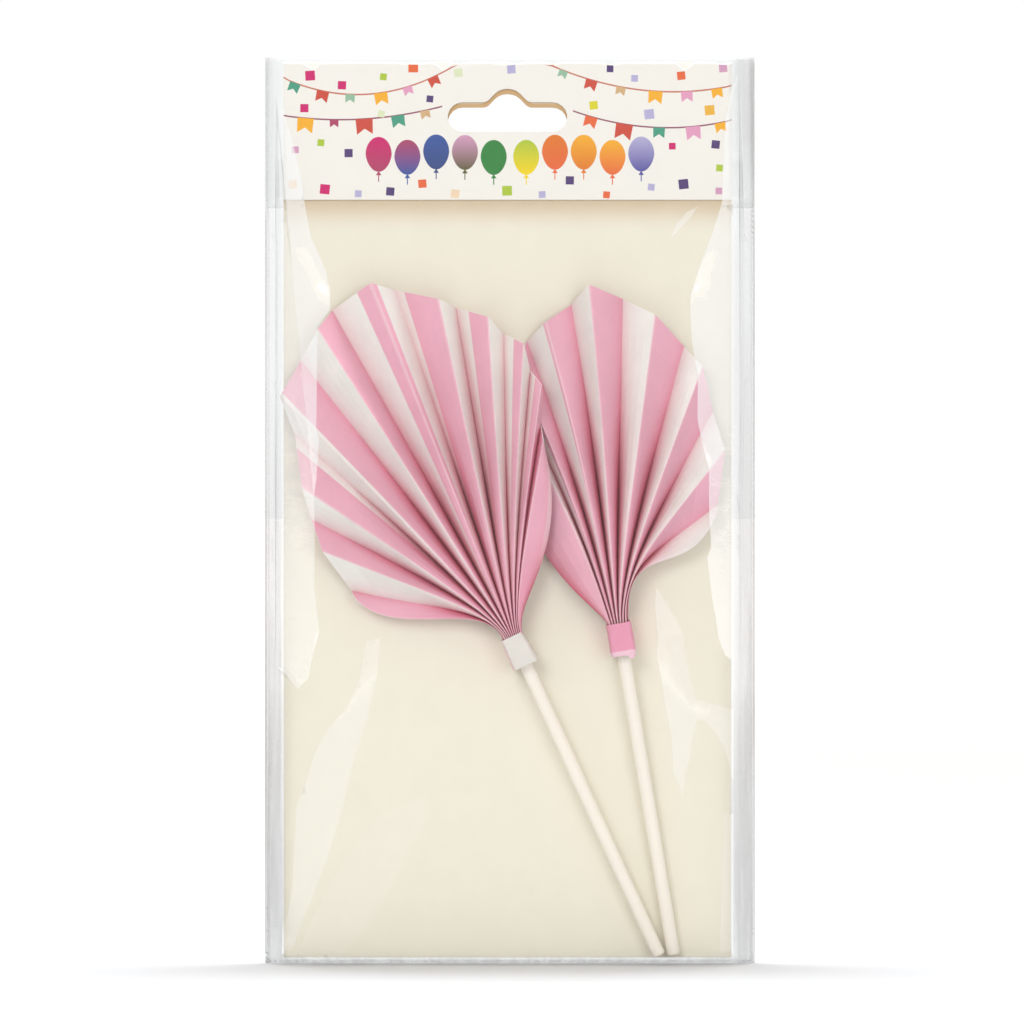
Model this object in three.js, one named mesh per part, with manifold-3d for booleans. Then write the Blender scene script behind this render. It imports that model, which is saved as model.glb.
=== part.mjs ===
// A pair of pleated paper fan cake toppers in their clear hanging pouch.
// Millimetres. +Z is up, the pack hangs upright and its printed face looks along -Y.
// The origin is the point where a peg bears: the crown of the hang slot, half way through the card.
import * as THREE from "three";
import { mergeVertices } from "three/addons/utils/BufferGeometryUtils.js";
import Module from "manifold-3d";

const wasm = await Module();
wasm.setup();

// Sheets, from the middle of the card outwards
const CARD_THICKNESS = 0.6;
const HEADER_THICKNESS = 0.35;
const FILM_THICKNESS = 0.25;
const ADHESIVE_THICKNESS = 0.2;
const SHEET_GAP = 0.3;

// Hang slot, a wide rounded bar with a crown in the middle of its upper edge
const SLOT_WIDTH = 32;
const SLOT_BAR_HEIGHT = 8;
const SLOT_CROWN_WIDTH = 13;
const SLOT_CROWN_RISE = 3.6;
const CARD_SLOT_LOWER_BY = 1.3;

// Card, header and pouch
const CARD_WIDTH = 120;
const CARD_ABOVE_SLOT = 7.95;
const HEADER_HEIGHT = 37;
const ROOM_ABOVE_FANS = 22.8;
const ROOM_BELOW_STICKS = 1.1;
const POUCH_SIDE_ROOM = 5.65;
const POUCH_OFFSET = 0.65;
const ROOM_BESIDE_FANS = 4.2;
const POUCH_ABOVE_HEADER = 0.4;
const POUCH_BELOW_CARD = 1.6;
const FLAP_LENGTH = 40;
const FLAP_CREASE_GAP = 0.35;
const ADHESIVE_WIDTH = 10;
const ADHESIVE_FROM_EDGE = 3;

// How the front film draws in towards its edges
const FILM_ROOM = 0.6;
const FILM_SIDE_RUN = 14;
const FILM_FLAT_SIDE_RUN = 4.4;
const FILM_TOP_RUN = 13;
const FILM_BOTTOM_RUN = 2.2;
const FILM_FLAT_BOTTOM_RUN = 1.3;

// Toppers
const PLEAT_WIDTH = 9.8;
const LEAST_PLEAT_SHARE = 0.35;
const PAPER_DEPTH = 0.9;
const NECK_WIDTH = 5.6;
const WRAP_LENGTH = 8.6;
const WRAP_THICKNESS = 0.3;
const WRAP_GAP = 0.3;
const STICK_DIAMETER = 3.6;
const STICK_SOCKET_GAP = 0.3;
const STICK_IN_FAN = 12;
const STICK_ENDS_X = 42.4;
const STICK_ENDS_APART = 0.4;
const FREE_PLAY = 5;
const SLIDE_GAP = 0.35;

// Each fold is [degrees from the stick, length], from the sheet's left edge to its right edge.
// The two edges are cut in a curve, so they have their own control points.
// foldStart is how far the first, middle and last folds run up along the stick before they bend out.
const LEFT = {
  name: "left",
  tilt: -24.56,
  stickLength: 94,
  stickLift: 1.2,
  firstRidge: 0,
  foldStart: [9.5, 4.5, 4.5],
  foldFocus: [0, 3.2],
  neckFlare: 1,
  folds: [
    [-51.6, 43.6], [-50.3, 44.4], [-41.7, 55.2], [-35.6, 61.9], [-30.5, 68.3], [-22.9, 78.8],
    [-19.7, 88.7], [-13.1, 92.4], [-7.9, 96.3], [-4.5, 99], [2.6, 100.9], [5.8, 97.1],
    [12.2, 91.4], [14.7, 88.7], [20.2, 84.7], [22.9, 80.2], [26.8, 77.4], [28.4, 70.4],
    [31.2, 66.9], [32.2, 56.5], [33.6, 52.2], [34.8, 49.4],
  ],
  leftEdge: [[-2.5, 13], [-31, 11.5]],
  rightEdge: [[5, 9], [23, 14]],
};
const RIGHT = {
  name: "right",
  tilt: -9.53,
  stickLength: 90.1,
  stickLift: 0,
  firstRidge: 1,
  foldStart: [8, 8, 19.5],
  foldFocus: [1.8, 9],
  neckFlare: 1.6,
  folds: [
    [-22.4, 50], [-17.1, 58.9], [-14.9, 65.2], [-12.2, 72.8], [-8.4, 79], [-4.1, 82.2],
    [1.2, 85.7], [4.5, 90.1], [10.4, 86.2], [16.3, 82.5], [23, 75.6], [27.7, 71.8],
    [33.7, 61.7], [41.2, 54], [49.7, 41.3], [51.4, 39.4],
  ],
  leftEdge: [[-6.3, 6.9], [-23, 20.6]],
  rightEdge: [[5.4, 23.5], [20.5, 6]],
};
const TOPPERS = [LEFT, RIGHT];
const FOLD_STRAIGHT_FROM = 0.42;
const FOLD_STEPS = [0.1, 0.19, 0.28, 0.38, 0.5, 0.66, 0.83, 1];
const GROOVE_SLOPE = 2.5;
const OVERLAP_RUN = 9;

const rad = THREE.MathUtils.degToRad;

// Part of a quarter sine: 0 at the edge, 1 once the run is over
function drawIn(distance, run) {
  return Math.sin((Math.PI / 2) * THREE.MathUtils.clamp(distance / run, 0, 1));
}

// Depths along Y, taken from the stack of sheets
const cardFront = -CARD_THICKNESS / 2;
const headerFront = cardFront - SHEET_GAP - HEADER_THICKNESS;
const headerBack = -headerFront;
const backFilmFront = headerBack + SHEET_GAP;
const backFilmBack = backFilmFront + FILM_THICKNESS;
const adhesiveFront = backFilmBack + SHEET_GAP;
const flapFront = adhesiveFront + ADHESIVE_THICKNESS;
const flapBack = flapFront + FILM_THICKNESS;
const fanBack = cardFront - SHEET_GAP;
const fanMiddle = fanBack - PLEAT_WIDTH / 2;
const fanFront = fanBack - PLEAT_WIDTH;
const headerFilm = -headerFront + SHEET_GAP;
const seamFilm = -(backFilmFront - SHEET_GAP);
const fullFilm = -fanFront + FILM_ROOM;
const neckDepth = PLEAT_WIDTH - 2 * (WRAP_GAP + WRAP_THICKNESS);

// Heights above the slot
const headerTop = CARD_ABOVE_SLOT + SHEET_GAP + HEADER_THICKNESS;
const headerBottom = headerTop - HEADER_HEIGHT;
const pouchTop = headerTop + POUCH_ABOVE_HEADER;
const creaseUnder = pouchTop + FLAP_CREASE_GAP;
const creaseTop = creaseUnder + FILM_THICKNESS;

// The two sticks end side by side on one level. Each topper is placed by its stick's end.
function endX(topper) {
  const apart = (STICK_DIAMETER + STICK_ENDS_APART) / 2;
  return STICK_ENDS_X + (topper === LEFT ? -apart : apart);
}

function bandX(topper) {
  return endX(topper) + topper.stickLength * Math.sin(rad(topper.tilt));
}

function foldTip([angle, length]) {
  return new THREE.Vector2(Math.sin(rad(angle)), Math.cos(rad(angle))).multiplyScalar(length);
}

function foldBase(topper, index) {
  const share = index / (topper.folds.length - 1) - 0.5;
  return new THREE.Vector2(share * NECK_WIDTH, 0);
}

function bendHeight(topper, index) {
  const [first, middle, last] = topper.foldStart;
  const across = (2 * index) / (topper.folds.length - 1) - 1;
  return THREE.MathUtils.lerp(middle, across < 0 ? first : last, across ** 2);
}

// A fold leaves the neck along the stick and soon runs straight out from the fan's focus
function foldCurve(topper, index) {
  const tip = foldTip(topper.folds[index]);
  const base = foldBase(topper, index);
  const focus = new THREE.Vector2(...topper.foldFocus);
  let controls = [
    new THREE.Vector2(base.x * topper.neckFlare, bendHeight(topper, index)),
    tip.clone().sub(focus).multiplyScalar(FOLD_STRAIGHT_FROM).add(focus),
  ];
  if (index === 0) controls = topper.leftEdge.map(([x, z]) => new THREE.Vector2(x, z));
  if (index === topper.folds.length - 1) {
    controls = topper.rightEdge.map(([x, z]) => new THREE.Vector2(x, z));
  }
  return new THREE.CubicBezierCurve(base, ...controls, tip);
}

// Rows of points of the spread sheet, in the topper's own plane: the neck's foot first
function fanRows(topper) {
  const curves = topper.folds.map((_, index) => foldCurve(topper, index));
  const neck = curves.map((curve) => curve.getPoint(0));
  const foot = neck.map((point) => new THREE.Vector2(point.x, -WRAP_LENGTH));
  const spread = FOLD_STEPS.map((t) => curves.map((curve) => curve.getPoint(t)));
  return [foot, neck, ...spread];
}

function inPack(topper, point, standZ) {
  const tilt = rad(topper.tilt);
  const x = bandX(topper) + point.x * Math.cos(tilt) + point.y * Math.sin(tilt);
  const z = standZ + topper.stickLength * Math.cos(tilt) - point.x * Math.sin(tilt) + point.y * Math.cos(tilt);
  return [x, z];
}

function reach(topper, axis, pick) {
  const all = fanRows(topper).slice(1).flat();
  return pick(...all.map((point) => inPack(topper, point, 0)[axis]));
}

const tallest = Math.max(...TOPPERS.map((topper) => reach(topper, 1, Math.max)));
const standZ = headerBottom - ROOM_ABOVE_FANS - tallest;
const cardBottom = standZ - ROOM_BELOW_STICKS;
const pouchBottom = cardBottom - POUCH_BELOW_CARD;
const fansTop = standZ + tallest + 2 * FREE_PLAY;
const fansLeft = Math.min(...TOPPERS.map((topper) => reach(topper, 0, Math.min)));
const fansRight = Math.max(...TOPPERS.map((topper) => reach(topper, 0, Math.max)));
const pouchLeft = Math.min(POUCH_OFFSET - CARD_WIDTH / 2 - POUCH_SIDE_ROOM, fansLeft - ROOM_BESIDE_FANS);
const pouchRight = Math.max(POUCH_OFFSET + CARD_WIDTH / 2 + POUCH_SIDE_ROOM, fansRight + ROOM_BESIDE_FANS);
const bandBottom = Math.min(...TOPPERS.map((t) => inPack(t, new THREE.Vector2(0, -WRAP_LENGTH), standZ)[1]));
const stickFilm = -(cardFront - SHEET_GAP - LEFT.stickLift - STICK_DIAMETER) + FILM_ROOM;
const taperTop = bandBottom - STICK_DIAMETER;
const taperBottom = standZ + STICK_DIAMETER * 4;

// Where the two fans share the same stretch of X, the left one lies in front of the right one
const sharedLeft = reach(RIGHT, 0, Math.min);
const sharedRight = reach(LEFT, 0, Math.max);

// How far the front film stands in front of the card's middle
function filmHeight(x, z) {
  const side = Math.min(x - pouchLeft, pouchRight - x);
  const bottom = z - pouchBottom;
  const flat = Math.min(drawIn(side, FILM_FLAT_SIDE_RUN), drawIn(bottom, FILM_FLAT_BOTTOM_RUN));
  const top = drawIn(fansTop + FILM_TOP_RUN - z, FILM_TOP_RUN);
  const taper = THREE.MathUtils.smoothstep(z, taperBottom, taperTop);
  const full = THREE.MathUtils.lerp(stickFilm, fullFilm, taper) - headerFilm;
  const closed = drawIn(bottom, FILM_BOTTOM_RUN);
  return seamFilm + (headerFilm - seamFilm) * flat + full * drawIn(side, FILM_SIDE_RUN) * top * closed;
}

// The pleats of one row in depth: front and back of the sheet at each fold
function rowDepths(topper, row, rowIndex) {
  const travel = topper === LEFT ? FREE_PLAY : 2 * FREE_PLAY;
  return row.map((point, index) => {
    const beside = [row[index - 1], row[index + 1]].filter(Boolean);
    const spacing = beside.reduce((sum, other) => sum + other.distanceTo(point), 0) / beside.length;
    const least = LEAST_PLEAT_SHARE * PLEAT_WIDTH;
    let depth = Math.sqrt(Math.max(PLEAT_WIDTH ** 2 - spacing ** 2, least ** 2));
    const inNeck = THREE.MathUtils.smoothstep(point.y, 0, WRAP_LENGTH);
    depth = Math.min(depth, THREE.MathUtils.lerp(neckDepth, PLEAT_WIDTH, inNeck));
    const [x, z] = inPack(topper, point, standZ);
    let middle = fanMiddle;
    const apart = rowIndex < 2 ? 0 : overlapShare(topper, x) * THREE.MathUtils.smoothstep(point.y, 2, WRAP_LENGTH * 2);
    const half = PLEAT_WIDTH / 2 - SLIDE_GAP;
    middle += (topper === LEFT ? -1 : 1) * apart * (PLEAT_WIDTH - half) / 2;
    depth = THREE.MathUtils.lerp(depth, Math.min(depth, half), apart);
    const limit = -Math.min(filmHeight(x, z), filmHeight(x, z + travel)) + FILM_ROOM;
    const front = Math.max(middle - depth / 2, limit);
    const back = Math.max(Math.min(middle + depth / 2, fanBack), front + PAPER_DEPTH);
    const groove = rowIndex < 2 ? 0 : Math.min(back - front - PAPER_DEPTH, GROOVE_SLOPE * spacing);
    return pleatSides(topper, index, front, back, groove);
  });
}

// 1 where the fans overlap along X, falling to 0 beyond
function overlapShare(topper, x) {
  const smooth = THREE.MathUtils.smoothstep;
  if (topper === LEFT) return smooth(x, sharedLeft - OVERLAP_RUN, sharedLeft - SLIDE_GAP);
  return 1 - smooth(x, sharedRight + SLIDE_GAP, sharedRight + OVERLAP_RUN);
}

function pleatSides(topper, index, front, back, groove) {
  const ridge = index % 2 === topper.firstRidge;
  const edge = index === 0 || index === topper.folds.length - 1;
  if (edge) return [front + groove / 2, back - groove / 2];
  return ridge ? [front, back - groove] : [front + groove, back];
}

// Whether a cell may be split from its first corner to its third without folding over
function splitsForward(a, b, c, d) {
  const area = (p, q, s) => (q.x - p.x) * (s.z - p.z) - (q.z - p.z) * (s.x - p.x);
  return Math.min(area(a, b, c), area(a, c, d)) > 0;
}

// A closed sheet between two surfaces over one grid of points. Rows run upwards, columns to the right.
function closedSheet(rows) {
  const height = rows.length;
  const width = rows[0].length;
  const positions = [];
  for (const side of ["front", "back"]) {
    for (const row of rows) {
      for (const point of row) positions.push(point.x, point[side], point.z);
    }
  }
  const at = (row, column, back) => (back ? height * width : 0) + row * width + column;
  const index = [];
  const quad = (a, b, c, d) => index.push(a, b, c, a, c, d);
  for (let r = 0; r + 1 < height; r += 1) {
    for (let c = 0; c + 1 < width; c += 1) {
      const corners = [[r, c], [r, c + 1], [r + 1, c + 1], [r + 1, c]];
      if (!splitsForward(...corners.map(([i, j]) => rows[i][j]))) corners.push(corners.shift());
      quad(...corners.map(([i, j]) => at(i, j)));
      const [first, second, third, fourth] = corners.map(([i, j]) => at(i, j, true));
      quad(first, fourth, third, second);
    }
    quad(at(r, 0, true), at(r, 0), at(r + 1, 0), at(r + 1, 0, true));
    quad(at(r, width - 1), at(r, width - 1, true), at(r + 1, width - 1, true), at(r + 1, width - 1));
  }
  for (let c = 0; c + 1 < width; c += 1) {
    quad(at(0, c, true), at(0, c + 1, true), at(0, c + 1), at(0, c));
    quad(at(height - 1, c), at(height - 1, c + 1), at(height - 1, c + 1, true), at(height - 1, c, true));
  }
  const geometry = new THREE.BufferGeometry();
  geometry.setAttribute("position", new THREE.Float32BufferAttribute(positions, 3));
  geometry.setIndex(index);
  return geometry;
}

function toSolid(geometry) {
  const bare = geometry.clone();
  bare.deleteAttribute("normal");
  bare.deleteAttribute("uv");
  const merged = mergeVertices(bare, 1e-4);
  return new wasm.Manifold(new wasm.Mesh({
    numProp: 3,
    vertProperties: new Float32Array(merged.attributes.position.array),
    triVerts: new Uint32Array(merged.index.array),
  }));
}

function toGeometry(solid) {
  const mesh = solid.getMesh();
  const positions = [];
  for (let i = 0; i < mesh.numVert; i += 1) {
    positions.push(...mesh.vertProperties.subarray(i * mesh.numProp, i * mesh.numProp + 3));
  }
  const geometry = new THREE.BufferGeometry();
  geometry.setAttribute("position", new THREE.Float32BufferAttribute(positions, 3));
  geometry.setIndex([...mesh.triVerts]);
  return geometry;
}

function cut(geometry, ...tools) {
  return toGeometry(tools.reduce((solid, tool) => solid.subtract(toSolid(tool)), toSolid(geometry)));
}

function mesh(name, geometry, color, roughness, look = {}) {
  const shaded = geometry.index ? geometry.toNonIndexed() : geometry;
  shaded.computeVertexNormals();
  const material = new THREE.MeshStandardMaterial({ color, roughness, metalness: 0, ...look });
  const made = new THREE.Mesh(shaded, material);
  made.name = name;
  return made;
}

// An outline in the X Z plane, given thickness from yFront back to yBack
function slab(shape, yFront, yBack) {
  const geometry = new THREE.ExtrudeGeometry(shape, {
    depth: yBack - yFront, bevelEnabled: false, curveSegments: 6,
  });
  return geometry.rotateX(Math.PI / 2).translate(0, yBack, 0);
}

function rectangle(left, right, bottom, top) {
  const shape = new THREE.Shape();
  shape.moveTo(left, bottom);
  shape.lineTo(right, bottom);
  shape.lineTo(right, top);
  shape.lineTo(left, top);
  shape.closePath();
  return shape;
}

// A side profile in the Y Z plane, drawn out along X
function drawnOut(points, left, right) {
  const shape = new THREE.Shape(points.map(([y, z]) => new THREE.Vector2(y, z)));
  const geometry = new THREE.ExtrudeGeometry(shape, { depth: right - left, bevelEnabled: false });
  const turn = new THREE.Matrix4().makeBasis(
    new THREE.Vector3(0, 1, 0), new THREE.Vector3(0, 0, 1), new THREE.Vector3(1, 0, 0));
  return geometry.applyMatrix4(turn).translate(left, 0, 0);
}

function slotShape(crownZ) {
  const half = SLOT_WIDTH / 2;
  const round = SLOT_BAR_HEIGHT / 2;
  const barTop = crownZ - SLOT_CROWN_RISE;
  const crown = SLOT_CROWN_WIDTH / 2;
  const shape = new THREE.Shape();
  shape.moveTo(-half + round, barTop - SLOT_BAR_HEIGHT);
  shape.lineTo(half - round, barTop - SLOT_BAR_HEIGHT);
  shape.absarc(half - round, barTop - round, round, -Math.PI / 2, Math.PI / 2, false);
  shape.lineTo(crown, barTop);
  shape.bezierCurveTo(crown * 0.65, barTop, crown * 0.6, crownZ, 0, crownZ);
  shape.bezierCurveTo(-crown * 0.6, crownZ, -crown * 0.65, barTop, -crown, barTop);
  shape.lineTo(-half + round, barTop);
  shape.absarc(-half + round, barTop - round, round, Math.PI / 2, Math.PI * 1.5, false);
  return shape;
}

// A cutter through every sheet of the pack, for the slot whose crown is at crownZ
function slotCutter(crownZ) {
  return slab(slotShape(crownZ), fanFront, flapBack - fanFront);
}

function backingCard() {
  const board = rectangle(-CARD_WIDTH / 2, CARD_WIDTH / 2, cardBottom, CARD_ABOVE_SLOT);
  return mesh("backing_card", cut(slab(board, cardFront, -cardFront), slotCutter(0)), 0xeee8d6, 0.85);
}

// The header is folded over the card's top edge
function headerCard() {
  const inner = headerFront + HEADER_THICKNESS;
  const profile = [
    [headerFront, headerBottom], [inner, headerBottom], [inner, headerTop - HEADER_THICKNESS],
    [-inner, headerTop - HEADER_THICKNESS], [-inner, headerBottom], [headerBack, headerBottom],
    [headerBack, headerTop], [headerFront, headerTop],
  ];
  const folded = drawnOut(profile, -CARD_WIDTH / 2, CARD_WIDTH / 2);
  return mesh("header_card", cut(folded, slotCutter(CARD_SLOT_LOWER_BY)), 0xf1ede5, 0.7);
}

function stops(from, to, count) {
  return Array.from({ length: count }, (_, i) => THREE.MathUtils.lerp(from, to, i / count));
}

// Stops close together where the film curves, wide apart where it is flat
function filmColumns() {
  const leftRun = [0, 1.4, 2.9, FILM_FLAT_SIDE_RUN, 7, 9.6, 12];
  const from = pouchLeft + FILM_SIDE_RUN;
  const to = pouchRight - FILM_SIDE_RUN;
  return [
    ...leftRun.map((step) => pouchLeft + step),
    ...stops(from, to, 6), to,
    ...leftRun.map((step) => pouchRight - step).reverse(),
  ];
}

function filmRows() {
  const close = [0, 0.5, FILM_FLAT_BOTTOM_RUN, FILM_BOTTOM_RUN];
  return [
    ...close.map((step) => pouchBottom + step),
    ...stops(taperBottom, taperTop, 5),
    ...stops(taperTop, fansTop, 4),
    ...stops(fansTop, fansTop + FILM_TOP_RUN, 5),
    fansTop + FILM_TOP_RUN, pouchTop,
  ];
}

function pouchFront() {
  const rows = filmRows().map((z) => filmColumns().map((x) => {
    const height = filmHeight(x, z);
    return { x, z, front: -height - FILM_THICKNESS, back: -height };
  }));
  return mesh("pouch_front", cut(closedSheet(rows), slotCutter(CARD_SLOT_LOWER_BY)), 0xf4f6f6, 0.1, {
    transparent: true, opacity: 0.25,
  });
}

function pouchBack() {
  const panel = rectangle(pouchLeft, pouchRight, pouchBottom, pouchTop);
  const sheet = cut(slab(panel, backFilmFront, backFilmBack), slotCutter(CARD_SLOT_LOWER_BY));
  return mesh("pouch_back", sheet, 0xf4f6f6, 0.1, { transparent: true, opacity: 0.25 });
}

// The front film runs on over the header, down behind the pouch, and can be folded up
function pouchFlap() {
  const hinge = -headerFilm - FILM_THICKNESS;
  const flapBottom = creaseTop - FLAP_LENGTH;
  const profile = [
    [hinge, creaseUnder], [flapFront, creaseUnder], [flapFront, flapBottom],
    [flapBack, flapBottom], [flapBack, creaseTop], [hinge, creaseTop],
  ];
  const flap = cut(drawnOut(profile, pouchLeft, pouchRight), slotCutter(CARD_SLOT_LOWER_BY));
  return mesh("pouch_flap", flap, 0xf4f6f6, 0.1, { transparent: true, opacity: 0.25 });
}

function flapAdhesive() {
  const bottom = creaseTop - FLAP_LENGTH + ADHESIVE_FROM_EDGE;
  const strip = rectangle(pouchLeft + ADHESIVE_FROM_EDGE, pouchRight - ADHESIVE_FROM_EDGE,
    bottom, bottom + ADHESIVE_WIDTH);
  return mesh("flap_adhesive", slab(strip, adhesiveFront, flapFront), 0xf7f5ee, 0.4);
}

// The stick leans back a little towards the card, from the middle of the neck to its free end
function stickLean(topper) {
  const endY = cardFront - SHEET_GAP - topper.stickLift - STICK_DIAMETER / 2;
  return Math.asin((endY - fanMiddle) / topper.stickLength);
}

function stickRod(topper, radius, top) {
  const length = top + topper.stickLength;
  const rod = new THREE.CylinderGeometry(radius, radius, length, 20);
  return rod.rotateX(Math.PI / 2).translate(0, 0, top - length / 2).rotateX(stickLean(topper));
}

function stick(topper) {
  return mesh(`stick_${topper.name}`, stickRod(topper, STICK_DIAMETER / 2, STICK_IN_FAN), 0xf3ebdb, 0.75);
}

// One pleated sheet. Between the folds that lie close together at the neck it is left solid.
function fan(topper) {
  const rows = fanRows(topper).map((row, rowIndex) => {
    const depths = rowDepths(topper, row, rowIndex);
    return row.map((point, index) => {
      const [front, back] = depths[index];
      return { x: point.x, z: point.y, front: front - fanMiddle, back: back - fanMiddle };
    });
  });
  const socket = stickRod(topper, STICK_DIAMETER / 2 + STICK_SOCKET_GAP, STICK_IN_FAN + SHEET_GAP);
  return mesh(`fan_${topper.name}`, cut(closedSheet(rows), socket), 0xebb9cb, 0.9);
}

// A strip of the same paper, wrapped round the neck
function wrap(topper) {
  const x = NECK_WIDTH / 2 + WRAP_GAP;
  const y = neckDepth / 2 + WRAP_GAP;
  const around = new THREE.Shape(boxOutline(x + WRAP_THICKNESS, y + WRAP_THICKNESS));
  around.holes.push(new THREE.Path(boxOutline(x, y)));
  const tube = new THREE.ExtrudeGeometry(around, { depth: WRAP_LENGTH, bevelEnabled: false });
  const color = topper === LEFT ? 0xebe8e0 : 0xe9a5c2;
  return mesh(`wrap_${topper.name}`, tube.translate(0, 0, -WRAP_LENGTH), color, 0.85);
}

function boxOutline(x, y) {
  return [[-x, -y], [x, -y], [x, y], [-x, y]].map(([u, v]) => new THREE.Vector2(u, v));
}

// The topper's own Z runs up its stick, and its origin is the middle of the wrap's upper end
function topperGroup(topper) {
  const group = new THREE.Group();
  group.add(fan(topper), wrap(topper), stick(topper));
  const [x, z] = inPack(topper, new THREE.Vector2(0, 0), standZ);
  group.position.set(x, fanMiddle, z);
  group.rotation.y = rad(topper.tilt);
  return group;
}

const pack = new THREE.Group();
pack.add(backingCard(), headerCard(), pouchFront(), pouchBack(), pouchFlap(), flapAdhesive());
pack.add(...TOPPERS.map(topperGroup));

export default pack;
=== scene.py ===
"""Looks for the hanging pack with two pleated paper fans. Lengths are in millimetres until a mesh is made."""
import math
import random

import bpy
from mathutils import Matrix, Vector, noise
from mathutils.geometry import delaunay_2d_cdt


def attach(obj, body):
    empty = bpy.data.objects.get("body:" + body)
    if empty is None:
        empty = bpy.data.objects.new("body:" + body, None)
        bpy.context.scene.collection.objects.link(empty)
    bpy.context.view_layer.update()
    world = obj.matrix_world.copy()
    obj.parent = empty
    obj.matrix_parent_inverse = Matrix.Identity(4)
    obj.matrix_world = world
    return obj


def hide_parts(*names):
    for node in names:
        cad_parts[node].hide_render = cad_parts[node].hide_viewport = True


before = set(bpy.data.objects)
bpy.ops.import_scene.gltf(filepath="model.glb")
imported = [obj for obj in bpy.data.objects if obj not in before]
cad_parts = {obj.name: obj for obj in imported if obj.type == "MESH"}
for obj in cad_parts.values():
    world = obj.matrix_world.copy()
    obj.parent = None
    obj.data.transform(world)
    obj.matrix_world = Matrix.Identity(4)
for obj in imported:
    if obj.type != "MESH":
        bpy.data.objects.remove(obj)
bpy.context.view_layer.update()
MM = 0.001

# Sheets and slot, as in the solids
CARD_WIDTH = 120.0
CARD_TOP = 7.95
CARD_BOTTOM = -231.37
CARD_THICKNESS = 0.6
HEADER_TOP = 8.6
HEADER_BOTTOM = -28.4
HEADER_Y = 0.8
HEADER_THICKNESS = 0.3
SLOT_WIDTH = 32.0
SLOT_BAR = 8.0
SLOT_CROWN = 13.0
SLOT_RISE = 3.6
HEADER_SLOT = 1.3
POUCH_LEFT = -65.0
POUCH_RIGHT = 66.3
POUCH_TOP = 9.2
POUCH_BOTTOM = -232.95
FILM_THICKNESS = 0.12
FLAP_LEAF_Y = 2.12
FLAP_BOTTOM = -30.4
FLAP_TOP = 9.55
FLAP_CREASE_Y = -1.42
FLAP_CREASE_Z = 9.35
FILM_BACK_Y = 1.38
SLOT_MIDDLE = -6.4

# Front film, as in the solids: how it stands off the card and draws in towards its edges
FANS_TOP = -41.2
FILM_SEAM_Y = -0.95
FILM_FLAT_RISE = 2.2
FILM_FLAT_SIDE_RUN = 4.4
FILM_FLAT_BOTTOM_RUN = 1.3
FILM_SIDE_RUN = 14
FILM_TOP_RUN = 13
FILM_BOTTOM_RUN = 2.2
FILM_OVER_STICKS = 6.0
FILM_OVER_FANS = 11.0
FILM_ON_CARD = 1.25
STICKS_LEVEL = -215.8
WRAPS_LEVEL = -157.6

# Toppers, as in the solids
PLEAT = 9.8
FAN_MIDDLE = -5.5
FAN_BACK = -0.6
NECK_WIDTH = 5.4
NECK_DEPTH = 8.4
NECK_OPEN = 0.5
WRAP_LENGTH = 8.6
STICK_RADIUS = 1.8
STICK_TOP = -0.8
PAPER = 0.14
FREE_PLAY = 5.0
LEAST_PLEAT_SHARE = 0.35
WRAP_HALF_DEPTH = 4.62
WRAP_PAPER_THICKNESS = 0.16
WRAP_WINDING = 2.25 * math.pi
WRAP_SQUARENESS = 0.32
WRAP_LAP = 0.035


def linear(red, green, blue):
    """A screen colour, 0 to 255, as a linear one."""
    shares = [c / 255 for c in (red, green, blue)]
    return tuple(c / 12.92 if c <= 10 / 255 else ((c + 0.055) / 1.055) ** 2.4 for c in shares)


WHITE = linear(246, 243, 236)
PINK = linear(244, 183, 201)
# Painted bounce light near the fans' necks, for lit and for shaded pleat sides, and a painted highlight along
# the crests
BOUNCE_PINK_LIT = linear(243, 182, 196)
BOUNCE_PINK_SHADED = linear(236, 158, 180)
CREST_HIGHLIGHT = linear(252, 232, 232)
PALE = linear(240, 208, 214)
CREAM = linear(240, 234, 216)
# Kraft brown of the board's cut edge, and of the painted shade round the slot
KRAFT_AND_SLOT_SHADE = linear(206, 172, 128)
HEADER_WHITE = linear(244, 240, 232)
STICK_CREAM = linear(248, 240, 227)
BAND_WHITE = linear(228, 222, 214)
BAND_PINK = linear(236, 159, 184)
BAND_RIM = linear(242, 200, 214)


def smooth(value, low, high):
    t = min(1.0, max(0.0, (value - low) / (high - low)))
    return t * t * (3 - 2 * t)


def quarter(distance, run):
    return math.sin(math.pi / 2 * min(1.0, max(0.0, distance / run)))


def mix(a, b, t):
    return a + (b - a) * t


def wave(*point):
    return noise.noise(Vector(point))


# Pieces

def make(name, points, faces, body, materials, colours=None, replaced=()):
    """A mesh piece from points in millimetres. colours holds one for each face, or one for each corner."""
    mesh = bpy.data.meshes.new(name)
    mesh.from_pydata([Vector(p) * MM for p in points], [], faces)
    if colours:
        layer = mesh.color_attributes.new("tint", "FLOAT_COLOR", "CORNER")
        for face, colour in zip(mesh.polygons, colours):
            for place, loop in enumerate(face.loop_indices):
                shade = colour if isinstance(colour[0], float) else colour[place]
                layer.data[loop].color = (*shade, 1.0)
    for material in materials:
        mesh.materials.append(material)
    mesh.update()
    obj = bpy.data.objects.new(name, mesh)
    bpy.context.scene.collection.objects.link(obj)
    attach(obj, body)
    if replaced:
        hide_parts(*replaced)
    return obj


def thicken(obj, thickness, rim=0, offset=0.0):
    solid = obj.modifiers.new("thickness", "SOLIDIFY")
    solid.thickness = thickness * MM
    solid.offset = offset
    solid.use_even_offset = False
    solid.material_offset_rim = rim


def smooth_shade(obj):
    obj.data.shade_smooth()


# Materials

# How far the painted crease shade looks for paper round a point
CREASE_SHADE_REACH = 0.012
GLARE_SHARE = 0.3
GRAZING_POWER = 5.0
GRAZING_MIRROR = 0.6
STRIP_END_CLEAR = 0.97
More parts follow.
